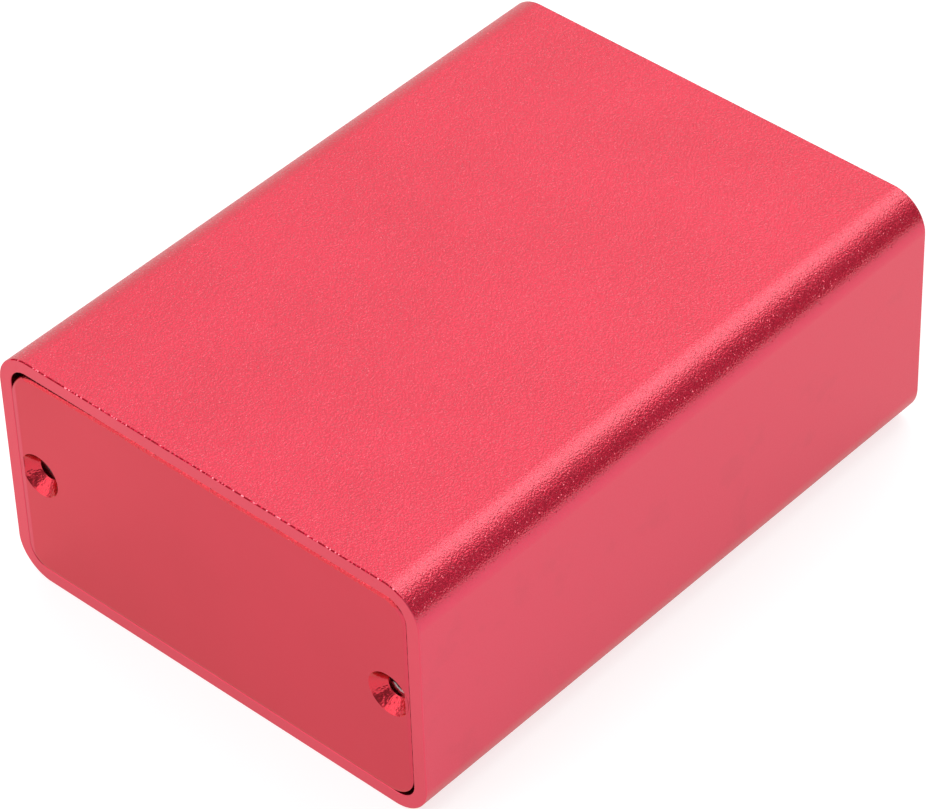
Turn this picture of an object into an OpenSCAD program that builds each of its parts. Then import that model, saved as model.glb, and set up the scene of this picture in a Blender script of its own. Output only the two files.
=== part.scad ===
// Extruded aluminium enclosure: one tube with inner screw channels and board
// slots, closed at each end by a plate that sits inside the tube's mouth.
//
// Frame: +Z up, X across the width, Y along the extrusion. The origin is the
// middle of the flat underside. The front end faces -Y.

/* [Tube] */
// Width of the extrusion, side to side
case_w = 73.5; // [60:0.5:110]
// Height of the extrusion, base to top
case_h = 38.6; // [34:0.2:50]
// Length of the tube, end to end
case_l = 100; // [60:1:200]
// Wall thickness of the extrusion
wall_t = 2.15; // [1.9:0.05:2.4]
// Outside corner radius of the section
corner_r = 5.6; // [4.8:0.1:7]
// Inside corner radius of the section
mouth_r = 3.1; // [2:0.1:3.4]
// Break on the outer and inner edges of the sawn ends
edge_break = 0.15; // [0.05:0.05:0.3]

/* [Screw channels] */
// Distance from a side of the case to the axis of its screw channel
screw_inset = 5.75; // [5.6:0.05:6.2]
// Radius of the round channel wall
boss_r = 2.7; // [2.5:0.05:2.9]
// Core radius of the channel, ready for a thread-forming M3 screw
core_r = 1.25; // [1.15:0.05:1.3]
// Width of the slot that opens each channel to the inside
channel_slot = 1.3; // [1:0.1:1.4]
// Radius of the thread where a fitted screw has formed one
thread_r = 1.44; // [1.44:0.01:1.48]

/* [Board slots] */
// Width of each slot for a circuit board's edge
board_slot = 1.8; // [1.6:0.1:2.2]
// Height of the lower slot's middle above the underside
slot_z = 7.5; // [6:0.5:9.5]
// Thickness of each rib beside a slot
rib_t = 1.3; // [1:0.1:1.6]
// How far the ribs stand in from the side wall
rib_reach = 2.2; // [1.6:0.1:2.6]

/* [End plates] */
// Thickness of an end plate, and how far the inner ribs are cut back
panel_t = 2.5; // [2.4:0.1:3.5]
// Gap all round between an end plate and the tube's mouth
panel_gap = 0.12; // [0.05:0.01:0.3]
// Corner radius of an end plate's outline
panel_corner_r = 4.4; // [3.8:0.1:5.5]
// Rounding of an end plate's outer edge
panel_edge_r = 0.7; // [0.3:0.1:1]
// Radius of a screw's through hole
hole_r = 1.6; // [1.55:0.05:1.7]
// Radius of the 90 degree countersink at the plate's face
csk_r = 3.35; // [3.1:0.05:3.4]

/* [Rear screws] */
// Radius of a countersunk screw's head
head_r = 2.9; // [2.7:0.05:2.9]
// Height of the straight land round the head's rim
head_land = 0.2; // [0.1:0.05:0.2]
// Length of a screw, overall
screw_l = 8; // [6:1:10]
// Radius of a screw's threaded shank
shank_r = 1.43; // [1.38:0.01:1.43]
// Radius of the cross recess across its wings
recess_r = 1.45; // [1.2:0.05:1.6]
// Depth of the cross recess
recess_depth = 1.5; // [1:0.1:1.6]

/* [Hidden] */
$fn = 96;
eps = 0.05;
red = [0.84, 0.17, 0.24];
panel_red = [0.80, 0.18, 0.24];
zinc = [0.72, 0.73, 0.75];
// inside of the tube
in_w = case_w - 2 * wall_t;
in_h = case_h - 2 * wall_t;
// screw axes
screw_x = case_w / 2 - screw_inset;
mid_z = case_h / 2;
// end plates
panel_w = in_w - 2 * panel_gap;
panel_h = in_h - 2 * panel_gap;
csk_depth = csk_r - hole_r;
// top of a screw's head, below the plate's face
head_below = csk_r - head_r - head_land;
// the formed thread runs this far past the screw's tip
thread_past = 2;
thread_depth = head_below + screw_l - panel_t + thread_past;

// ---- shared shapes ----

// a rectangle with round corners, about the origin
module rounded_rect(w, h, r) {
    square([w - 2 * r, h], center = true);
    square([w, h - 2 * r], center = true);
    for (x = [-1, 1], y = [-1, 1])
        translate([x * (w / 2 - r), y * (h / 2 - r)]) circle(r);
}

// a section in X and Z, run along Y about the middle of the case
module along_y(len) {
    translate([0, 0, mid_z]) rotate([90, 0, 0])
        linear_extrude(height = len, center = true) children();
}

// sets a shape whose outer face is z = 0, +Z out, on the case's front (-1) or rear (1) end
module on_end(side) {
    translate([0, side * case_l / 2, mid_z])
        rotate([90, 0, side > 0 ? 180 : 0]) children();
}

// carries a flat profile (x outwards from a corner's centre, y out of the end)
// once round a rounded rectangle w by h whose corners turn about radius r
module around(w, h, r) {
    for (x = [0, 1], y = [0, 1])
        mirror([x, 0, 0]) mirror([0, y, 0])
            translate([w / 2 - r, h / 2 - r, 0])
                rotate_extrude(angle = 90) children();
    for (x = [0, 1]) mirror([x, 0, 0])
        translate([w / 2 - r, h / 2 - r, 0])
            rotate([90, 0, 0]) linear_extrude(height = h - 2 * r) children();
    for (y = [0, 1]) mirror([0, y, 0])
        translate([-(w / 2 - r), h / 2 - r, 0])
            rotate([90, 0, 90]) linear_extrude(height = w - 2 * r) children();
}

// ---- tube ----

module channel_section() {
    for (s = [0, 1]) mirror([s, 0]) {
        difference() {
            union() {
                translate([screw_x, 0]) circle(boss_r);
                translate([screw_x, -boss_r]) square([in_w / 2 - screw_x + 0.5, 2 * boss_r]);
            }
            translate([screw_x, 0]) circle(core_r);
            translate([screw_x - boss_r - 1, -channel_slot / 2]) square([boss_r + 1, channel_slot]);
        }
    }
}

// a pair of ribs beside each board slot, low and high on each side wall
module rib_section() {
    for (s = [0, 1], t = [0, 1], u = [0, 1])
        mirror([s, 0]) mirror([0, t])
            translate([in_w / 2 - rib_reach, slot_z - mid_z + (u == 0 ? board_slot / 2 : -board_slot / 2 - rib_t)])
                square([rib_reach + 0.5, rib_t]);
}

// cutters for the small break on a sawn end's outer and inner edges
module outer_break() {
    around(case_w, case_h, corner_r)
        polygon([[corner_r - edge_break - eps, eps], [corner_r + eps, -edge_break - eps], [corner_r + eps, eps]]);
}

module inner_break() {
    around(in_w, in_h, mouth_r)
        polygon([[mouth_r + edge_break + eps, eps], [mouth_r - eps, -edge_break - eps], [mouth_r - eps, eps]]);
}

module case_tube() {
    color(red) difference() {
        union() {
            along_y(case_l) difference() {
                rounded_rect(case_w, case_h, corner_r);
                rounded_rect(in_w, in_h, mouth_r);
            }
            along_y(case_l - 2 * panel_t) {
                channel_section();
                rib_section();
            }
        }
        for (side = [-1, 1]) on_end(side) {
            outer_break();
            inner_break();
        }
        // threads formed by the two rear screws
        for (s = [-1, 1])
            on_end(1) translate([s * screw_x, 0, -panel_t - thread_depth])
                cylinder(r = thread_r, h = thread_depth + eps);
    }
}

// ---- end plates ----

module plate_rim() {
    translate([0, -panel_t]) square([panel_corner_r - panel_edge_r, panel_t]);
    translate([0, -panel_t]) square([panel_corner_r, panel_t - panel_edge_r]);
    translate([panel_corner_r - panel_edge_r, -panel_edge_r]) circle(panel_edge_r);
}

module end_plate() {
    difference() {
        union() {
            translate([0, 0, -panel_t / 2])
                cube([panel_w - 2 * panel_corner_r, panel_h - 2 * panel_corner_r, panel_t], center = true);
            around(panel_w, panel_h, panel_corner_r) plate_rim();
        }
        for (s = [-1, 1]) translate([s * screw_x, 0, 0]) {
            translate([0, 0, -panel_t - 1]) cylinder(r = hole_r, h = panel_t + 2);
            translate([0, 0, -csk_depth]) cylinder(r1 = hole_r, r2 = csk_r + 1, h = csk_depth + 1);
        }
    }
}

module front_panel() {
    color(panel_red) on_end(-1) end_plate();
}

module rear_panel() {
    color(panel_red) on_end(1) end_plate();
}

// ---- countersunk screws, head top at z = 0, shank down ----

module cross_recess() {
    for (a = [0, 90]) rotate([0, 0, a]) rotate([90, 0, 0])
        linear_extrude(height = 0.72, center = true)
            polygon([[-recess_r, 0.5], [-recess_r, 0], [-0.4, -recess_depth],
                     [0.4, -recess_depth], [recess_r, 0], [recess_r, 0.5]]);
}

module screw() {
    cone_h = head_r - shank_r;
    tip = 0.4;
    difference() {
        rotate_extrude()
            polygon([[0, 0], [head_r, 0], [head_r, -head_land], [shank_r, -head_land - cone_h],
                     [shank_r, -screw_l + tip], [shank_r - tip, -screw_l], [0, -screw_l]]);
        cross_recess();
    }
}

module rear_screw(s) {
    color(zinc) on_end(1) translate([-s * screw_x, 0, -head_below])
        rotate([0, 0, 20 + 35 * s]) screw();
}

module rear_screw_left() { rear_screw(-1); }

module rear_screw_right() { rear_screw(1); }

front_panel();
case_tube();
rear_panel();
rear_screw_left();
rear_screw_right();
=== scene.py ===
"""Extruded aluminium enclosure: the looks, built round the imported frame.

Meshes are worked out in millimetres in the row frame (X width, Y along the
extrusion, Z up) and scaled to metres when each object is made.
"""
import math

import bpy
import numpy as np
from mathutils import Matrix, Vector
from mathutils.geometry import delaunay_2d_cdt


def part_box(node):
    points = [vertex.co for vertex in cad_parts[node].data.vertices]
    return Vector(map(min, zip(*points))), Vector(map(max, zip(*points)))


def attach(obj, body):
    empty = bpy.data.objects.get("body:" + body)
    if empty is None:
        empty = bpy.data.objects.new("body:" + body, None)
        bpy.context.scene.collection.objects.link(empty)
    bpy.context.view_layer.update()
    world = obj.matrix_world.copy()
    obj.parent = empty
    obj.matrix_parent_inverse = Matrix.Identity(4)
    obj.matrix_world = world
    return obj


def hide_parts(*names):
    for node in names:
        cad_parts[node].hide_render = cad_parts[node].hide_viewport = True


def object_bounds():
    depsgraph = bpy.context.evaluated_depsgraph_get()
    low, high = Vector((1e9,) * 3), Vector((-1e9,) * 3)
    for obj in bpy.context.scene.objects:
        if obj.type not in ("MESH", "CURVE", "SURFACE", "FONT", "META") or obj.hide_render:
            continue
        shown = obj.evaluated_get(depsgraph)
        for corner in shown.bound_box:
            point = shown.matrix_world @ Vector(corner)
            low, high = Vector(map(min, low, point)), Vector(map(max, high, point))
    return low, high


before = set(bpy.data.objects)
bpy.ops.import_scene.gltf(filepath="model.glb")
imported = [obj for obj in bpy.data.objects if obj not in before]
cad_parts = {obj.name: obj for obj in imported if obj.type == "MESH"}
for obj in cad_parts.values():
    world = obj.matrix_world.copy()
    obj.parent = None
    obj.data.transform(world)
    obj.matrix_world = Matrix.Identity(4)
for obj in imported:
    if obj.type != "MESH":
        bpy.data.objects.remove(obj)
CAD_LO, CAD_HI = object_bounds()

MM = 0.001
sin, cos, pi = math.sin, math.cos, math.pi

# ---------------------------------------------------------------- sizes (mm)
LO, HI = np.array(CAD_LO) / MM, np.array(CAD_HI) / MM
HALF_W = (HI[0] - LO[0]) / 2            # 36.75
HALF_H = (HI[2] - LO[2]) / 2            # 19.3
HALF_L = (HI[1] - LO[1]) / 2            # 50
MID_Z = (HI[2] + LO[2]) / 2
P_LO, P_HI = (np.array(c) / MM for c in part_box("front_panel"))
PLATE_HW = (P_HI[0] - P_LO[0]) / 2      # 34.48
PLATE_HH = (P_HI[2] - P_LO[2]) / 2      # 17.03
PLATE_T = P_HI[1] - P_LO[1]             # 2.5
WALL = 2.15
CORNER_R, MOUTH_R = 5.6, 3.1
IN_HW, IN_HH = HALF_W - WALL, HALF_H - WALL
BREAK = 0.15
DEEP = HALF_L - PLATE_T                 # ribs and channels start here
SCREW_X, BOSS_R, CORE_R, SLOT_H = 31.0, 2.7, 1.25, 0.65
THREAD_R, THREAD_FROM = 1.44, 39.5
PLATE_R, PLATE_EDGE = 4.4, 0.7
HOLE_R, CSK_R = 1.6, 3.35


# ---------------------------------------------------------------- mesh builder
class Build:
    """Faces with a normal for every corner, welded by position."""

    def __init__(self):
        self.v, self.key, self.f, self.n, self.m = [], {}, [], [], []

    def vert(self, p):
        k = (round(p[0] * 1e5), round(p[1] * 1e5), round(p[2] * 1e5))
        if k not in self.key:
            self.key[k] = len(self.v)
            self.v.append((float(p[0]), float(p[1]), float(p[2])))
        return self.key[k]

    def face(self, pts, nrm, mat):
        ids, ns = [], []
        for p, n in zip(pts, nrm):
            i = self.vert(p)
            if i not in ids:
                ids.append(i)
                ns.append(n)
        if len(ids) < 3:
            return
        a = np.array([self.v[i] for i in ids])
        b = np.roll(a, -1, 0)
        area = np.cross(a, b).sum(0)
        if np.linalg.norm(area) < 1e-9:
            return
        if area @ np.sum(ns, 0) < 0:
            ids, ns = ids[::-1], ns[::-1]
        self.f.append(ids)
        self.n.extend([tuple(float(c) for c in n) for n in ns])
        self.m.append(mat)

    def grid(self, P, N, mat, close=False):
        """P and N are (rows, columns, 3). close joins the last column to the first."""
        P, N = np.asarray(P, float), np.asarray(N, float)
        rows, cols = P.shape[:2]
        for i in range(rows - 1):
            for j in range(cols if close else cols - 1):
                k = (j + 1) % cols
                self.face([P[i, j], P[i, k], P[i + 1, k], P[i + 1, j]],
                          [N[i, j], N[i, k], N[i + 1, k], N[i + 1, j]], mat)

    def flat(self, loops, y, ny, mat):
        """Fills the region in the plane y between loops[0] and the holes loops[1:], each (n, 2) in x and z."""
        pts, edges = [], []
        for loop in loops:
            s = len(pts)
            pts += [Vector((float(a), float(b))) for a, b in loop]
            edges += [(s + i, s + (i + 1) % len(loop)) for i in range(len(loop))]
        co, _, tris, *_ = delaunay_2d_cdt(pts, edges, [], 0, 1e-7)
        C = np.array([tuple(c) for c in co])
        for t in tris:
            c = C[list(t)].mean(0)
            if inside(c, loops[0]) and not any(inside(c, h) for h in loops[1:]):
                self.face([(C[i][0], y, C[i][1]) for i in t], [(0, ny, 0)] * len(t), mat)

    def mesh(self, name, mats, turn=None):
        me = bpy.data.meshes.new(name)
        V = np.array(self.v)
        N = np.array(self.n)
        if turn is not None:
            V, N = turn(V, N)
        me.from_pydata((V * MM).tolist(), [], self.f)
        for m in mats:
            me.materials.append(m)
        me.polygons.foreach_set("material_index", np.array(self.m, np.int32))
        me.polygons.foreach_set("use_smooth", np.ones(len(self.f), bool))
        N = N / np.maximum(np.linalg.norm(N, axis=1), 1e-12)[:, None]
        me.normals_split_custom_set([tuple(n) for n in N])
        me.validate(clean_customdata=False)
        me.update()
        ob = bpy.data.objects.new(name, me)
        bpy.context.scene.collection.objects.link(ob)
        return ob


def inside(p, loop):
    L = np.asarray(loop)
    a, b = L, np.roll(L, -1, 0)
    up = (a[:, 1] > p[1]) != (b[:, 1] > p[1])
    d = np.where(b[:, 1] == a[:, 1], 1e-30, b[:, 1] - a[:, 1])
    x = a[:, 0] + (p[1] - a[:, 1]) * (b[:, 0] - a[:, 0]) / d
    return bool(np.count_nonzero(up & (p[0] < x)) % 2)


def rrect(hw, hh, r, arc=28, cuts=()):
    """Points and outward normals, ccw in (x, z) about the section's middle. cuts are fractions of the straight
    part of each side wall, from -1 (low) to 1 (high), where an extra point goes."""
    P, N = [], []
    s = hh - r
    for k, (cx, cz, a0) in enumerate(((hw - r, s, 0), (r - hw, s, 90), (r - hw, -s, 180), (hw - r, -s, 270))):
        for i in range(arc + 1):
            a = math.radians(a0 + 90 * i / arc)
            N.append((cos(a), sin(a)))
            P.append((cx + r * cos(a), cz + r * sin(a)))
        if k == 1:      # down the left side
            for f in sorted(cuts, reverse=True):
                P.append((-hw, f * s)); N.append((-1, 0))
        if k == 3:      # up the right side
            for f in sorted(cuts):
                P.append((hw, f * s)); N.append((1, 0))
    return np.array(P), np.array(N)


def plate_outline(right, left, top, low, radii, droop, arc=28):
    """Outline of an end plate: its own reach on each side, a radius for each corner (TR, TL, BL, BR), and how far
    the top edge falls away towards the left end."""
    P, N = [], []
    for k, r in enumerate(radii):
        cx = right - r if k in (0, 3) else r - left
        cz = top - r if k < 2 else r - low
        for i in range(arc + 1):
            a = math.radians(90 * k + 90 * i / arc)
            N.append((cos(a), sin(a)))
            P.append((cx + r * cos(a), cz + r * sin(a)))
        if k == 3:      # up the right side, where the gap opens and closes
            for z in np.linspace(r - low, top - radii[0], 60)[1:-1]:
                N.append((1, 0))
                P.append((right + 0.056 * sin(z * 2.3) * sin(z * 5.1 + 1), z))
        if k == 0:      # along the top, right to left
            for x in np.linspace(right - r, radii[1] - left, 30)[1:-1]:
                N.append((0, 1))
                P.append((x, top))
    P, N = np.array(P), np.array(N)
    u = np.clip((-15.0 - P[:, 0]) / 19.0, 0, 1)
    P[:, 1] -= droop * u * u * (3 - 2 * u) * np.clip((P[:, 1] - (top - 5)) / 5, 0, 1)
    return P, N


def ring(P, N, y, off, nrm_out, nrm_y):
    """One ring of 3-D points: the loop moved in by off, at y, with normals mixed from the loop's own and Y."""
    Q = P - N * off
    pts = np.column_stack([Q[:, 0], np.full(len(Q), y), Q[:, 1] + MID_Z])
    nn = np.column_stack([N[:, 0] * nrm_out, np.full(len(Q), nrm_y), N[:, 1] * nrm_out])
    return pts, nn


def stack(rings):
    return np.array([r[0] for r in rings]), np.array([r[1] for r in rings])


# ---------------------------------------------------------------- tube
RIBS = [(-14.0, -12.7), (-10.9, -9.6), (9.6, 10.9), (12.7, 14.0)]
S_IN = IN_HH - MOUTH_R
JOINTS = sorted([z for r in RIBS for z in r] + [-BOSS_R, BOSS_R])
CUTS = [z / S_IN for z in JOINTS]


def arc_pts(c, r, a0, a1, n):
    t = np.radians(np.linspace(a0, a1, n + 1))
    return np.column_stack([c[0] + r * np.cos(t), c[1] + r * np.sin(t)])


def rib_path(z0, z1):
    """Detour round a rib on the right wall, going up, as (p, q, normal at p, normal at q) with the void on the left."""
    x0, x1, r = IN_HW, IN_HW - 2.2, 0.25
    out = []
    line(out, (x0, z0), (x1 + r, z0))
    turn(out, (x1 + r, z0 + r), r, -90, -180, 5, 1)
    line(out, (x1, z0 + r), (x1, z1 - r))
    turn(out, (x1 + r, z1 - r), r, 180, 90, 5, 1)
    line(out, (x1 + r, z1), (x0, z1))
    return out


def boss_path(core):
    c = (SCREW_X, 0.0)
    xo = SCREW_X - math.sqrt(BOSS_R ** 2 - SLOT_H ** 2)
    xm = SCREW_X - math.sqrt(THREAD_R ** 2 - SLOT_H ** 2)
    xi = SCREW_X - math.sqrt(core ** 2 - SLOT_H ** 2)
    ao = 180 - math.degrees(math.asin(SLOT_H / BOSS_R))
    ai = 180 - math.degrees(math.asin(SLOT_H / core))
    out = []
    line(out, (IN_HW, -BOSS_R), (SCREW_X, -BOSS_R))
    turn(out, c, BOSS_R, -90, -ao, 20, 1)
    line(out, (xo, -SLOT_H), (xm, -SLOT_H))
    line(out, (xm, -SLOT_H), (xi, -SLOT_H))
    turn(out, c, core, -ai, ai, 56, -1)
    line(out, (xi, SLOT_H), (xm, SLOT_H))
    line(out, (xm, SLOT_H), (xo, SLOT_H))
    turn(out, c, BOSS_R, ao, 90, 20, 1)
    line(out, (SCREW_X, BOSS_R), (IN_HW, BOSS_R))
    return out


def line(out, p, q):
    d = np.subtract(q, p)
    n = np.array([-d[1], d[0]]) / max(np.hypot(*d), 1e-12)
    out.append((np.array(p, float), np.array(q, float), n, n))


def turn(out, c, r, a0, a1, n, s):
    P = arc_pts(c, r, a0, a1, n)
    N = (P - np.array(c)) / r * s
    for i in range(n):
        out.append((P[i], P[i + 1], N[i], N[i + 1]))


def mirrored(path):
    flip = np.array([-1.0, 1.0])
    return [(q * flip, p * flip, b * flip, a * flip) for p, q, a, b in reversed(path)]


def build_tube():
    b = Build()
    OUT, END, IN, BARE, EDGE, CORE = 0, 1, 2, 3, 4, 5
    Po, No = rrect(HALF_W, HALF_H, CORNER_R, 28, CUTS)
    Pi, Ni = rrect(IN_HW, IN_HH, MOUTH_R, 28, CUTS)
    steps = [math.radians(a) for a in (0, 18, 36, 54, 72, 90)]
    # outer wall, with rings along it so that no face is very long
    ys = [-HALF_L + BREAK] + [float(y) for y in np.linspace(-48, 48, 25)] + [HALF_L - BREAK]
    P, N = stack([ring(Po, No, y, 0, 1, 0) for y in ys])
    b.grid(P, N, OUT, True)
    for s in (-1, 1):
        # outer edge, rounded over
        P, N = stack([ring(Po, No, s * (HALF_L - BREAK + BREAK * sin(a)), BREAK * (1 - cos(a)), cos(a), s * sin(a)) for a in steps])
        start = len(b.f)
        b.grid(P, N, END, True)
        for i in range(start, len(b.f)):
            if sum(b.v[j][2] for j in b.f[i]) / len(b.f[i]) > HI[2] - 0.9:
                b.m[i] = EDGE
        # sawn end
        o = ring(Po, No, s * HALF_L, BREAK, 0, s)
        i = ring(Pi, Ni, s * HALF_L, -BREAK, 0, s)
        mid = ((o[0] + i[0]) / 2, o[1])
        b.grid(*stack([o, mid, i]), END, True)
        # mouth edge, rounded over: the loop's own normal points out of the void, so it is turned round
        P, N = stack([ring(Pi, Ni, s * (HALF_L - BREAK + BREAK * cos(a)), -BREAK * (1 - sin(a)), -sin(a), s * cos(a)) for a in steps])
        b.grid(P, N, END, True)
        # mouth wall
        P, N = stack([ring(Pi, Ni, s * y, 0, -1, 0) for y in (HALF_L - BREAK, DEEP)])
        b.grid(P, N, IN, True)

    # inside: walk the mouth's loop and take a detour round each rib and channel
    def features(core):
        made = {}
        for z0, z1 in RIBS:
            made[(1, round(z0, 3), round(z1, 3))] = rib_path(z0, z1)
        made[(1, -BOSS_R, BOSS_R)] = boss_path(core)
        for (_, z0, z1), path in list(made.items()):
            made[(-1, z1, z0)] = mirrored(path)
        return made

    def outline(core):
        f, segs, detours = features(core), [], []
        n = len(Pi)
        for k in range(n):
            p, q = Pi[k], Pi[(k + 1) % n]
            side = 1 if p[0] > 0 else -1
            found = None
            if abs(abs(p[0]) - IN_HW) < 1e-6 and abs(abs(q[0]) - IN_HW) < 1e-6:
                found = f.get((side, round(float(p[1]), 3), round(float(q[1]), 3)))
            if found:
                segs += found
                detours.append(found)
            else:
                segs.append((p, q, -Ni[k], -Ni[(k + 1) % n]))
        return segs, detours

    thin, thin_d = outline(CORE_R)
    wide, wide_d = outline(THREAD_R)

    def lift(p, y):
        return (p[0], y, p[1] + MID_Z)

    def is_core(p, q):
        return all(np.hypot(abs(a[0]) - SCREW_X, a[1]) < THREAD_R + 0.01 for a in (p, q))

    runs = [(thin, list(np.linspace(-DEEP, THREAD_FROM, 13))), (wide, list(np.linspace(THREAD_FROM, DEEP, 3)))]
    for segs, yy in runs:
        for p, q, a, c in segs:
            if np.hypot(*(q - p)) < 1e-6:
                continue
            m = CORE if is_core(p, q) else IN
            for y0, y1 in zip(yy, yy[1:]):
                b.face([lift(p, y0), lift(q, y0), lift(q, y1), lift(p, y1)],
                       [(a[0], 0, a[1]), (c[0], 0, c[1]), (c[0], 0, c[1]), (a[0], 0, a[1])], m)
    # the small step where each formed thread ends
    for (p, q, *_), (u, w, *_) in zip(thin, wide):
        b.face([lift(p, THREAD_FROM), lift(q, THREAD_FROM), lift(w, THREAD_FROM), lift(u, THREAD_FROM)],
               [(0, 1, 0)] * 4, CORE)
    # cut ends of the ribs and channels
    for detours, y in ((thin_d, -DEEP), (wide_d, DEEP)):
        for path in detours:
            pts = [path[0][0]] + [s[1] for s in path]
            b.face([lift(p, y) for p in pts], [(0, math.copysign(1, y), 0)] * len(pts), BARE if path[0][0][0] > 0 else CORE)
    return b


# ---------------------------------------------------------------- end plates
def lattice(seed, nu, nv):
    return np.random.RandomState(seed).rand(nv, nu)


def wave(table, u, v):
    """Smooth value noise from a table that wraps round in u."""
    nv, nu = table.shape
    i, j = np.floor(u).astype(int), np.floor(v).astype(int)
    fu, fv = u - i, v - j
    fu, fv = fu * fu * (3 - 2 * fu), fv * fv * (3 - 2 * fv)
    g = lambda a, c: table[np.clip(c, 0, nv - 1), a % nu]
    return ((g(i, j) * (1 - fu) + g(i + 1, j) * fu) * (1 - fv) + (g(i, j + 1) * (1 - fu) + g(i + 1, j + 1) * fu) * fv) * 2 - 1


def bump01(x, lo, hi, soft):
    up = np.clip((x - lo) / soft, 0, 1)
    dn = np.clip((hi - x) / soft, 0, 1)
    k = up * dn
    return k * k * (3 - 2 * k)


def build_plate(chatter, seed):
    """Built as the front plate, outer face at y = -HALF_L, in the tube's frame."""
    b = Build()
    FACE, CUT, BACK, RIM = 0, 1, 2, 3
    y0, y1 = -HALF_L, -HALF_L + PLATE_T
    P, N = plate_outline(IN_HW - 0.072, IN_HW - 0.004, IN_HH - 0.03, IN_HH - 0.004, (3.4, 4.4, 3.2, 4.2), 0.25)
    # the rounding is deepest along the top, where the plate was filed to go in
    e = PLATE_EDGE
    k = np.clip(N[:, 1] * 1.3, 0, 1)
    u = np.clip((-15.0 - P[:, 0]) / 15.0, 0, 1)
    dp = 0.12 - 0.06 * np.clip(-N[:, 0], 0, 1) + (0.34 + 0.15 * u * u * (3 - 2 * u)) * k * k * (3 - 2 * k)
    st = [math.radians(a) for a in np.linspace(0, 90, 11)]
    rings = [ring(P, N, y1, 0.1, 0, 1)] + [ring(P, N, y1 - 0.1 + 0.1 * cos(a), 0.1 * (1 - sin(a)), sin(a), cos(a))
                                           for a in [math.radians(x) for x in (0, 30, 60, 90)]]
    for a in st:
        pts, nn = ring(P, N, y0, e * (1 - cos(a)), cos(a) / e, 0)
        pts[:, 1] = y0 + dp * (1 - sin(a))
        nn[:, 1] = -sin(a) / dp
        rings.append((pts, nn))
    b.grid(*stack(rings[1:6]), BACK, True)
    start = len(b.f)
    b.grid(*stack(rings[5:]), FACE, True)
    for i in range(start, len(b.f)):
        if sum(b.v[j][2] for j in b.f[i]) / len(b.f[i]) > MID_Z + PLATE_HH - 1.0:
            b.m[i] = RIM
    holes_f, holes_b = [], []
    nt = 300 if chatter else 96
    th = np.linspace(0, 2 * pi, nt, endpoint=False)
    ct, sn = np.cos(th), np.sin(th)
    rho, rho2 = 0.06, 0.05
    for side in (-1, 1):
        cx = side * SCREW_X
        # profile from the face down: (radius, depth, normal towards the axis, normal out of the face)
        prof = []
        for bta in np.radians(np.linspace(0, 45, 5)):
            prof.append((CSK_R + 0.4142 * rho - rho * sin(bta), rho - rho * cos(bta), sin(bta), cos(bta)))
        r_a, r_b = CSK_R - 0.2929 * rho, HOLE_R + 0.2929 * rho2
        rows = 34 if chatter else 4
        for k in range(1, rows):
            r = r_a + (r_b - r_a) * k / rows
            prof.append((r, CSK_R - r, 0.7071, 0.7071))
        for bta in np.radians(np.linspace(45, 90, 5)):
            prof.append((HOLE_R + rho2 - rho2 * sin(bta), CSK_R - HOLE_R + 0.4142 * rho2 - rho2 * cos(bta), sin(bta), cos(bta)))
        prof.append((HOLE_R, PLATE_T - 0.08, 1, 0))
        for bta in np.radians(np.linspace(0, 90, 4)):
            prof.append((HOLE_R + 0.08 - 0.08 * cos(bta), PLATE_T - 0.08 + 0.08 * sin(bta), cos(bta), -sin(bta)))
        prof = np.array(prof)
        R = prof[:, 0][:, None] * np.ones(nt)
        D = prof[:, 1][:, None] * np.ones(nt)
        nr = prof[:, 2][:, None] * np.ones(nt)
        nd = prof[:, 3][:, None] * np.ones(nt)
        if chatter:
            # the cutter chattered over the low side: torn radial strokes, cut into the cone
            deg = (np.degrees(th) % 360)[None, :]
            s = (CSK_R - R) / (CSK_R - HOLE_R)
            on = bump01(s, 0.03, 0.99, 0.10) * (prof[:, 2] > 0.70)[:, None] * (prof[:, 2] < 0.72)[:, None]
            low = bump01(deg, *((178, 338, 26) if side > 0 else (172, 322, 26)))
            k1, k2, k3 = 74, 127, 37
            u = th[None, :] / (2 * pi) * np.ones_like(R)
            lean = 0.9 * s
            w1 = wave(lattice(seed + side, k1, 9), u * k1 + lean, s * 7.0)
            w2 = wave(lattice(seed + 10 + side, k2, 15), u * k2 - 0.7 * lean, s * 12.0)
            w3 = wave(lattice(seed + 20 + side, k3, 6), u * k3 + 1.4 * lean, s * 3.5)
            tear = 0.025 * w1 + 0.015 * w2 + 0.015 * w3
            cut = on * (low * (tear - 0.022) + (1 - low) * 0.0016 * w2)
            R = R - cut * 0.7071                     # cut < 0 goes into the metal
            D = D - cut * 0.7071
        pts = np.stack([cx + R * ct, y0 + D, MID_Z + R * sn], -1)
        nrm = np.stack([-nr * ct, -nd, -nr * sn], -1)
        if chatter:
            du = np.roll(pts, -1, 1) - np.roll(pts, 1, 1)
            dv = np.gradient(pts, axis=0)
            g = np.cross(du, dv)
            g /= np.maximum(np.linalg.norm(g, axis=2), 1e-12)[..., None]
            g *= np.sign((g * nrm).sum(2))[..., None]
            m = (np.clip(on * 8, 0, 1) * (prof[:, 2] > 0.70)[:, None])[..., None]
            nrm = nrm * (1 - m) + g * m
        b.grid(pts, nrm, CUT, True)
        holes_f.append(np.column_stack([cx + prof[0, 0] * ct, prof[0, 0] * sn]))
        holes_b.append(np.column_stack([cx + prof[-1, 0] * ct, prof[-1, 0] * sn]))
    shift = lambda L: np.column_stack([L[:, 0], L[:, 1] + MID_Z])
    b.flat([shift(P - N * e)] + [shift(h) for h in holes_f], y0, -1, FACE)
    b.flat([shift(P - N * 0.1)] + [shift(h) for h in holes_b], y1, 1, BACK)
    return b


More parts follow.
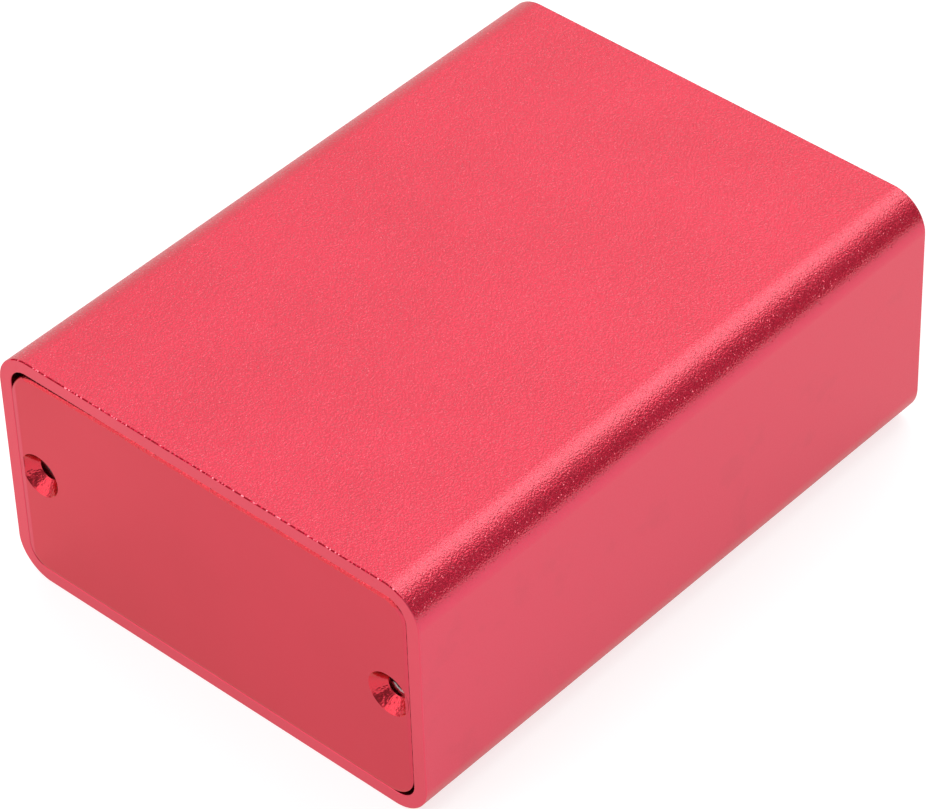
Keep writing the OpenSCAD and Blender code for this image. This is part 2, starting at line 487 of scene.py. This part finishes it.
# ---------------------------------------------------------------- screws
def build_screw(name, cx, clock, mat):
    """A countersunk cross-recess screw on the rear plate, head top at y = 49.75, shank towards -Y."""
    head_r, land, length, shank, pitch, root = 2.9, 0.2, 8.0, 1.43, 0.5, 0.24
    nt, per = 60, 12
    prof = [(0.0, 0.0), (1.5, 0.0), (head_r - 0.08, 0.0)]
    prof += [(head_r - 0.08 + 0.08 * sin(a), 0.08 - 0.08 * cos(a)) for a in np.radians((30, 60, 90))]
    prof += [(head_r, land)]
    cone = head_r - shank
    prof += [(head_r - cone * k / 6, land + cone * k / 6) for k in range(1, 6)]
    prof += [(shank - 0.02, land + cone)]
    d0, d1 = land + cone + 0.1, length - 0.35
    for d in np.arange(d0, d1, pitch / per):
        prof.append((shank - 0.02, d))
    prof += [(shank - 0.1, d1), (shank - 0.42, length), (0.5, length), (0.0, length)]
    prof = np.array(prof)
    th = np.linspace(0, 2 * pi, nt, endpoint=False)
    R = prof[:, 0][:, None] * np.ones(nt)
    D = prof[:, 1][:, None] * np.ones(nt)
    ph = (D / pitch - th[None, :] / (2 * pi)) % 1.0
    tri = np.clip(np.abs(ph - 0.5) * 2 * 1.25 - 0.12, 0, 1)
    on = np.clip((D - d0) / 0.35, 0, 1) * np.clip((d1 + 0.1 - D) / 0.45, 0, 1)
    R = R - root * tri * on * (D >= d0) * (D <= d1)
    y_top = HALF_L - 0.25
    pts = np.stack([cx + R * np.cos(th), y_top - D, MID_Z + R * np.sin(th)], -1) * MM
    verts, index = [], {}

    def vid(i, j):
        k = (i, 0) if prof[i, 0] < 1e-9 else (i, j % nt)
        if k not in index:
            index[k] = len(verts)
            verts.append(pts[k[0], k[1]])
        return index[k]

    faces = []
    for i in range(len(prof) - 1):
        for j in range(nt):
            q = [vid(i, j), vid(i + 1, j), vid(i + 1, j + 1), vid(i, j + 1)]
            q = [v for n, v in enumerate(q) if v not in q[:n]]
            if len(q) > 2:
                faces.append(q)
    me = bpy.data.meshes.new(name)
    me.from_pydata([tuple(v) for v in verts], [], faces)
    me.update()
    if me.polygons[0].normal.y < 0:
        me.flip_normals()
    ob = bpy.data.objects.new(name, me)
    bpy.context.scene.collection.objects.link(ob)
    # cross recess: two drafted wings with rounded ends
    for k, a in enumerate((clock, clock + 90)):
        sec = []
        for depth, reach, half in ((-0.4, 1.50, 0.40), (0.0, 1.45, 0.38), (0.75, 0.98, 0.33), (1.5, 0.42, 0.27)):
            loop = []
            for s in (1, -1):
                for t in np.radians(np.linspace(-90, 90, 7)):
                    loop.append((s * (reach - half * 0.55 + half * 0.55 * cos(t)), s * half * sin(t)))
            sec.append([(x, depth, z) for x, z in loop])
        n = len(sec[0])
        vs = [p for loop in sec for p in loop]
        fs = [[i * n + j, i * n + (j + 1) % n, (i + 1) * n + (j + 1) % n, (i + 1) * n + j] for i in range(len(sec) - 1) for j in range(n)]
        fs += [list(range(n))[::-1], [(len(sec) - 1) * n + j for j in range(n)]]
        r = math.radians(a)
        vs = [((cx + x * cos(r) - z * sin(r)) * MM, (y_top - d) * MM, (MID_Z + x * sin(r) + z * cos(r)) * MM) for x, d, z in vs]
        cm = bpy.data.meshes.new("cut")
        cm.from_pydata(vs, [], fs)
        cm.update()
        co = bpy.data.objects.new("cut", cm)
        bpy.context.scene.collection.objects.link(co)
        import bmesh
        bm = bmesh.new()
        bm.from_mesh(cm)
        bmesh.ops.recalc_face_normals(bm, faces=bm.faces)
        bm.to_mesh(cm)
        bm.free()
        mod = ob.modifiers.new("recess%d" % k, "BOOLEAN")
        mod.operation, mod.solver, mod.object = "DIFFERENCE", "EXACT", co
        bpy.context.view_layer.update()
        dg = bpy.context.evaluated_depsgraph_get()
        done = bpy.data.meshes.new_from_object(ob.evaluated_get(dg))
        ob.modifiers.clear()
        ob.data = done
        bpy.data.objects.remove(co)
    ob.data.name = name
    ob.data.materials.clear()
    ob.data.materials.append(mat)
    ob.data.polygons.foreach_set("material_index", np.zeros(len(ob.data.polygons), np.int32))
    ob.data.polygons.foreach_set("use_smooth", np.ones(len(ob.data.polygons), bool))
    ob.data.set_sharp_from_angle(angle=math.radians(28))
    return ob


# ---------------------------------------------------------------- materials
class Mat:
    def __init__(self, name):
        self.m = bpy.data.materials.new(name)
        self.m.use_nodes = True
        self.t = self.m.node_tree
        self.t.nodes.clear()
        self.out = self.t.nodes.new("ShaderNodeOutputMaterial")
        self.p = self.t.nodes.new("ShaderNodeBsdfPrincipled")
        self.t.links.new(self.p.outputs[0], self.out.inputs[0])
        self.co = self.t.nodes.new("ShaderNodeTexCoord").outputs["Object"]

    def new(self, kind, **props):
        n = self.t.nodes.new(kind)
        for k, v in props.items():
            setattr(n, k, v)
        return n

    def set(self, **vals):
        for k, v in vals.items():
            self.p.inputs[k.replace("_", " ")].default_value = v

    def link(self, a, b):
        self.t.links.new(a, b)

    def scaled(self, sx, sy, sz):
        n = self.new("ShaderNodeMapping")
        n.inputs["Scale"].default_value = (sx, sy, sz)
        self.link(self.co, n.inputs["Vector"])
        return n.outputs[0]

    def noise(self, scale, detail=2.0, rough=0.5, vec=None, distortion=0.0):
        n = self.new("ShaderNodeTexNoise")
        n.inputs["Scale"].default_value = scale
        n.inputs["Detail"].default_value = detail
        n.inputs["Roughness"].default_value = rough
        n.inputs["Distortion"].default_value = distortion
        self.link(vec or self.co, n.inputs["Vector"])
        return n.outputs["Fac"]

    def cells(self, scale, feature="SMOOTH_F1", smooth=0.6, randomness=1.0):
        n = self.new("ShaderNodeTexVoronoi", feature=feature)
        n.inputs["Scale"].default_value = scale
        if feature == "SMOOTH_F1":
            n.inputs["Smoothness"].default_value = smooth
        n.inputs["Randomness"].default_value = randomness
        self.link(self.co, n.inputs["Vector"])
        return n

    def math(self, op, a, b=None, c=None, clamp=False):
        n = self.new("ShaderNodeMath", operation=op, use_clamp=clamp)
        for i, x in enumerate((a, b, c)):
            if x is None:
                continue
            if isinstance(x, (int, float)):
                n.inputs[i].default_value = x
            else:
                self.link(x, n.inputs[i])
        return n.outputs[0]

    def span(self, fac, lo, hi, a, b, smooth=False):
        n = self.new("ShaderNodeMapRange", interpolation_type="SMOOTHSTEP" if smooth else "LINEAR")
        for k, v in (("From Min", lo), ("From Max", hi), ("To Min", a), ("To Max", b)):
            n.inputs[k].default_value = v
        self.link(fac, n.inputs["Value"])
        return n.outputs[0]

    def mix(self, fac, a, b):
        n = self.new("ShaderNodeMix", data_type="RGBA")
        self.link(fac, n.inputs[0])
        for s, x in ((n.inputs[6], a), (n.inputs[7], b)):
            if isinstance(x, tuple):
                s.default_value = (*x, 1.0)
            else:
                self.link(x, s)
        return n.outputs[2]

    def bump(self, height, distance, strength=1.0, normal=None):
        n = self.new("ShaderNodeBump")
        n.inputs["Distance"].default_value = distance
        n.inputs["Strength"].default_value = strength
        self.link(height, n.inputs["Height"])
        if normal is not None:
            self.link(normal, n.inputs["Normal"])
        return n.outputs[0]


RED = (0.675, 0.025, 0.065)
RED_DEEP = (0.645, 0.023, 0.059)
PLATE_RED = (0.61, 0.027, 0.063)
PLATE_DEEP = (0.59, 0.025, 0.059)
SIDE_RED = (0.730, 0.029, 0.090)
GRAZE = (0.50, 0.05, 0.08, 1.0)     # a dyed metal stays red at a low angle; the white there is the clear layer's


def blasted(name, base=RED, deep=RED_DEEP, rough=0.45, coat_rough=0.13, coat=0.95, depth=0.00013, coat_depth=0.00006,
            scale=4000, facet=1.4, sides=True):
    """Bead-blasted, dyed and sealed aluminium: a skin of fine dimples under a thin clear layer that fills most of
    their depth, with sparse flat facets a quarter of a millimetre wide, each turned its own way, that sparkle where
    the rest is dark. Both fade towards the smoother side walls. The facets' base colour is also painted paler pink: a
    painted glint."""
    m = Mat(name)
    fine = m.noise(scale, 1.0, 0.5)
    cloud = m.noise(70, 3.0, 0.5)
    cell = m.cells(3200, "F1")
    sep = m.new("ShaderNodeSeparateColor")
    m.link(cell.outputs["Color"], sep.inputs[0])
    mask = m.math("GREATER_THAN", m.span(sep.outputs[2], 0.45, 1.0, 0.20, 0.36), cell.outputs["Distance"])
    mask = m.math("MULTIPLY", mask, m.math("GREATER_THAN", sep.outputs[2], 0.45))
    height = fine
    if sides:
        xyz = m.new("ShaderNodeSeparateXYZ")
        m.link(m.co, xyz.inputs[0])
        keep = m.span(m.math("ABSOLUTE", xyz.outputs[0]), 0.03600, 0.03668, 1.0, 0.04, True)
        mask = m.math("MULTIPLY", mask, keep)
        height = m.math("MULTIPLY", fine, keep)
    # a facet's own direction, the same for the metal and for the clear layer
    off = m.new("ShaderNodeVectorMath", operation="SUBTRACT")
    m.link(cell.outputs["Color"], off.inputs[0])
    off.inputs[1].default_value = (0.5, 0.5, 0.5)
    lean = m.new("ShaderNodeVectorMath", operation="SCALE")
    m.link(off.outputs[0], lean.inputs[0])
    m.link(m.math("MULTIPLY", mask, facet), lean.inputs["Scale"])
    turned = m.new("ShaderNodeVectorMath", operation="ADD")
    m.link(m.new("ShaderNodeNewGeometry").outputs["Normal"], turned.inputs[0])
    m.link(lean.outputs[0], turned.inputs[1])
    unit = m.new("ShaderNodeVectorMath", operation="NORMALIZE")
    m.link(turned.outputs[0], unit.inputs[0])
    m.link(m.bump(height, depth, 1.0, unit.outputs[0]), m.p.inputs["Normal"])
    m.link(m.bump(height, coat_depth, 1.0, unit.outputs[0]), m.p.inputs["Coat Normal"])
    # the clear layer is thinner than a full varnish, so it whitens less at the lowest angles
    coat_at = m.span(m.new("ShaderNodeLayerWeight").outputs["Facing"], 0.58, 0.95, coat, coat * 0.45)
    # painted glint: the facet cells' base colour is made paler pink
    painted_glint = m.math("MULTIPLY", mask, m.span(sep.outputs[1], 0.0, 1.0, 0.1, 0.5))
    col = m.mix(m.span(cloud, 0.3, 0.7, 0.0, 1.0, True), deep, base)
    col = m.mix(painted_glint, col, (1.0, 0.22, 0.28))
    if sides:
        blotch = m.span(m.noise(130, 3.0, 0.6), 0.30, 0.46, 0.0, 1.0, True)
        wall = m.mix(blotch, tuple(c * 0.955 for c in SIDE_RED), SIDE_RED)
        col = m.mix(keep, wall, col)
    else:
        # painted dark on the left-hand part of the plate's edge: it stands in for the shade in the gap there
        xyz = m.new("ShaderNodeSeparateXYZ")
        m.link(m.co, xyz.inputs[0])
        deep_in = m.span(m.math("ABSOLUTE", xyz.outputs[1]), 0.04989, 0.04977, 0.0, 1.0, True)
        deep_in = m.math("MULTIPLY", deep_in, m.span(xyz.outputs[0], -0.0150, -0.0230, 0.0, 1.0, True))
        deep_in = m.math("MULTIPLY", deep_in, m.span(fine, 0.30, 0.45, 0.6, 1.0))
        col = m.mix(deep_in, col, (0.06, 0.003, 0.006))
        coat_at = m.math("MULTIPLY", coat_at, m.math("SUBTRACT", 1.0, deep_in))
    m.link(coat_at, m.p.inputs["Coat Weight"])
    m.link(col, m.p.inputs["Base Color"])
    m.link(m.span(fine, 0.3, 0.7, rough - 0.03, rough + 0.03), m.p.inputs["Roughness"])
    m.set(Metallic=1.0, Coat_Roughness=coat_rough, Coat_IOR=1.5, Specular_Tint=GRAZE)
    return m.m


def smooth_red(name, base, deep, rough, coat_rough, coat, grain_mm=0.12, depth=0.000006, lines=None, left_edge_highlight=None):
    """Dyed aluminium that was rolled or cut, not blasted. lines stretches the grain along one axis. The last argument,
    when given, is a paler colour painted on the left-hand edge: a painted highlight along the plate's rounded edge."""
    m = Mat(name)
    vec = m.scaled(*lines) if lines else m.co
    g = m.noise(1000.0 / grain_mm if not lines else 1.0, 2.0, 0.6, vec)
    cloud = m.noise(55, 3.0, 0.5)
    n = m.bump(g, depth)
    m.link(n, m.p.inputs["Normal"])
    col = m.mix(m.span(cloud, 0.3, 0.7, 0.0, 1.0, True), deep, base)
    # painted highlight: a paler colour along the left-hand edge
    if left_edge_highlight:
        xyz = m.new("ShaderNodeSeparateXYZ")
        m.link(m.co, xyz.inputs[0])
        col = m.mix(m.span(xyz.outputs[0], -0.03405, -0.03370, 1.0, 0.0, True), col, left_edge_highlight)
    m.link(col, m.p.inputs["Base Color"])
    m.link(m.span(g, 0.3, 0.7, rough - 0.025, rough + 0.025), m.p.inputs["Roughness"])
    m.set(Metallic=1.0, Coat_Weight=coat, Coat_Roughness=coat_rough, Coat_IOR=1.5, Specular_Tint=GRAZE)
    return m.m


def bare_metal(name, color, rough, lines, metal=1.0):
    m = Mat(name)
    g = m.noise(1.0, 3.0, 0.6, m.scaled(*lines))
    m.link(m.bump(g, 0.000008), m.p.inputs["Normal"])
    m.link(m.mix(m.span(g, 0.3, 0.7, 0.0, 1.0), tuple(c * 0.9 for c in color), color), m.p.inputs["Base Color"])
    m.link(m.span(g, 0.3, 0.7, rough - 0.04, rough + 0.05), m.p.inputs["Roughness"])
    m.set(Metallic=metal)
    return m.m


def sawn_edge(name):
    """The outer edge of a sawn end. Along the top it is chipped, with a painted shade: the chips are coloured dark."""
    m = Mat(name)
    chips = m.noise(1.0, 2.0, 0.6, m.scaled(2400, 1200, 1200))
    sep = m.new("ShaderNodeSeparateXYZ")
    m.link(m.co, sep.inputs[0])
    top = m.span(sep.outputs[2], 0.0377, 0.0383, 0.0, 1.0)
    # painted shade: dark colour in the chips along the top of the edge
    dark = m.math("MULTIPLY", m.span(chips, 0.45, 0.50, 0.0, 1.0), top)
    pale = m.math("MULTIPLY", m.span(chips, 0.41, 0.37, 0.0, 1.0), top)
    m.link(m.mix(pale, m.mix(dark, RED, (0.26, 0.008, 0.018)), (0.95, 0.30, 0.36)), m.p.inputs["Base Color"])
    m.link(m.bump(chips, 0.00005), m.p.inputs["Normal"])
    m.set(Metallic=1.0, Roughness=0.4, Specular_Tint=GRAZE)
    return m.m


M_OUT = blasted("red_blasted")
M_RIM = blasted("red_plate_rim", (0.72, 0.028, 0.050), (0.68, 0.025, 0.044), 0.34, 0.15, 0.6, 0.00016, 0.00016, 3000, sides=False)
M_EDGE = sawn_edge("red_sawn_edge")
M_END = smooth_red("red_sawn_end", (0.72, 0.038, 0.088), (0.69, 0.034, 0.080), 0.42, 0.3, 0.9, 0.2, 0.000016)
M_IN = smooth_red("red_inner_wall", RED, RED_DEEP, 0.34, 0.2, 0.6, lines=(4200, 60, 4200))
M_BARE = bare_metal("bare_aluminium", (0.95, 0.93, 0.94), 0.62, (3600, 3600, 3600), 0.35)
M_CORE = bare_metal("channel_core", (0.30, 0.27, 0.28), 0.5, (3600, 900, 3600))
# the plate face has a painted highlight along its left-hand edge
M_FACE = smooth_red("red_plate_face", PLATE_RED, PLATE_DEEP, 0.30, 0.2, 0.72, 0.18, 0.000005, left_edge_highlight=(0.66, 0.075, 0.118))
M_CUT = smooth_red("red_countersink", (0.64, 0.022, 0.044), (0.60, 0.019, 0.039), 0.25, 0.08, 0.60, 0.1, 0.000006)
M_BACK = smooth_red("red_plate_back", RED, RED_DEEP, 0.34, 0.24, 0.7, 0.18, 0.000008)
M_ZINC = bare_metal("bright_zinc", (0.70, 0.72, 0.76), 0.24, (5200, 5200, 5200))


# ---------------------------------------------------------------- pieces
tube = build_tube().mesh("tube_shell", [M_OUT, M_END, M_IN, M_BARE, M_EDGE, M_CORE])
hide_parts("case_tube")
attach(tube, "root")

front = build_plate(True, 40).mesh("front_plate", [M_FACE, M_CUT, M_BACK, M_RIM])
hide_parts("front_panel")
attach(front, "root")

rear_b = build_plate(False, 70)
rear_b.f = [f[::-1] for f in rear_b.f]
k, flipped = 0, []
for f in rear_b.f:
    flipped += rear_b.n[k:k + len(f)][::-1]
    k += len(f)
rear_b.n = flipped
rear = rear_b.mesh("rear_plate", [M_FACE, M_CUT, M_BACK, M_RIM],
                   lambda V, N: (V * np.array([1, -1, 1]), N * np.array([1, -1, 1])))
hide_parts("rear_panel")
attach(rear, "root")

for node, cx, clock in (("rear_screw_left", -SCREW_X, 15), ("rear_screw_right", SCREW_X, -55)):
    s = build_screw(node.replace("rear_screw", "screw_rear"), cx, clock, M_ZINC)
    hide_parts(node)
    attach(s, "root")


# ---------------------------------------------------------------- floor, light, camera
def plane(name, size, z):
    me = bpy.data.meshes.new(name)
    me.from_pydata([(-size, -size, z), (size, -size, z), (size, size, z), (-size, size, z)], [], [(0, 1, 2, 3)])
    ob = bpy.data.objects.new(name, me)
    bpy.context.scene.collection.objects.link(ob)
    return ob


floor = plane("floor", 4.0, CAD_LO.z - 0.00002)
fm = Mat("pale_floor")
fm.set(Base_Color=(0.42, 0.42, 0.42, 1.0), Roughness=0.9, Emission_Color=(1, 1, 1, 1), Emission_Strength=0.74)
fm.p.inputs["Specular IOR Level"].default_value = 0.0
floor.data.materials.append(fm.m)

world = bpy.data.worlds.new("studio")
bpy.context.scene.world = world
world.use_nodes = True
wt = world.node_tree
wt.nodes.clear()
w_out = wt.nodes.new("ShaderNodeOutputWorld")
w_bg = wt.nodes.new("ShaderNodeBackground")
w_dir = wt.nodes.new("ShaderNodeTexCoord").outputs["Generated"]


def w_math(op, a, b, clamp=False):
    n = wt.nodes.new("ShaderNodeMath")
    n.operation, n.use_clamp = op, clamp
    for i, x in enumerate((a, b)):
        if isinstance(x, (int, float)):
            n.inputs[i].default_value = x
        else:
            wt.links.new(x, n.inputs[i])
    return n.outputs[0]


def lobe(direction, inner, outer):
    """1 within inner degrees of a direction, fading to 0 at outer degrees."""
    n = wt.nodes.new("ShaderNodeVectorMath")
    n.operation = "DOT_PRODUCT"
    wt.links.new(w_dir, n.inputs[0])
    n.inputs[1].default_value = Vector(direction).normalized()
    r = wt.nodes.new("ShaderNodeMapRange")
    r.interpolation_type = "SMOOTHSTEP"
    r.inputs["From Min"].default_value = cos(math.radians(outer))
    r.inputs["From Max"].default_value = cos(math.radians(inner))
    wt.links.new(n.outputs["Value"], r.inputs["Value"])
    return r.outputs[0]


FILL, KEY, SIDE, FRONT = 0.62, 2.3, 0.55, 1.25
key = lobe((-0.03, 0.53, 0.85), 8, 26)
back_left = lobe((-0.52, 0.54, 0.66), 32, 56)
front_left = lobe((-0.52, -0.62, 0.58), 20, 36)
dark = lobe((0.80, 0.53, 0.28), 12, 34)
dim = lobe((0.50, -0.80, 0.30), 10, 32)
level = w_math("ADD", w_math("ADD", FILL, w_math("MULTIPLY", back_left, SIDE)), w_math("MULTIPLY", key, KEY))
level = w_math("ADD", level, w_math("MULTIPLY", front_left, FRONT))
level = w_math("MULTIPLY", level, w_math("SUBTRACT", 1.0, w_math("MULTIPLY", dark, 0.81)))
level = w_math("MULTIPLY", level, w_math("SUBTRACT", 1.0, w_math("MULTIPLY", dim, 0.64)))
path = wt.nodes.new("ShaderNodeLightPath")
seen = w_math("ADD", w_math("MULTIPLY", level, w_math("SUBTRACT", 1.0, path.outputs["Is Camera Ray"])), path.outputs["Is Camera Ray"])
wt.links.new(seen, w_bg.inputs["Strength"])
w_bg.inputs["Color"].default_value = (1, 1, 1, 1)
wt.links.new(w_bg.outputs[0], w_out.inputs[0])

cam_data = bpy.data.cameras.new("camera")
cam = bpy.data.objects.new("camera", cam_data)
bpy.context.scene.collection.objects.link(cam)
cam_data.sensor_fit = "HORIZONTAL"
cam_data.sensor_width = 36.0
cam_data.lens = 180.9802
cam_data.clip_start, cam_data.clip_end = 0.01, 20.0
CAM_AT = (0.31911240, -0.33923277, 0.42804973)
CAM_RIGHT = (0.74310077, 0.66858971, -0.02808976)
CAM_UP = (-0.42793170, 0.50705609, 0.74817684)
CAM_BACK = (0.51446642, -0.54395029, 0.66290451)
cam.matrix_world = Matrix([(*r, t) for r, t in zip(zip(CAM_RIGHT, CAM_UP, CAM_BACK), CAM_AT)] + [(0, 0, 0, 1)])
bpy.context.scene.camera = cam

vs = bpy.context.scene.view_settings
vs.view_transform = "Standard"
vs.look = "None"
vs.exposure = 0.0
vs.gamma = 1.0
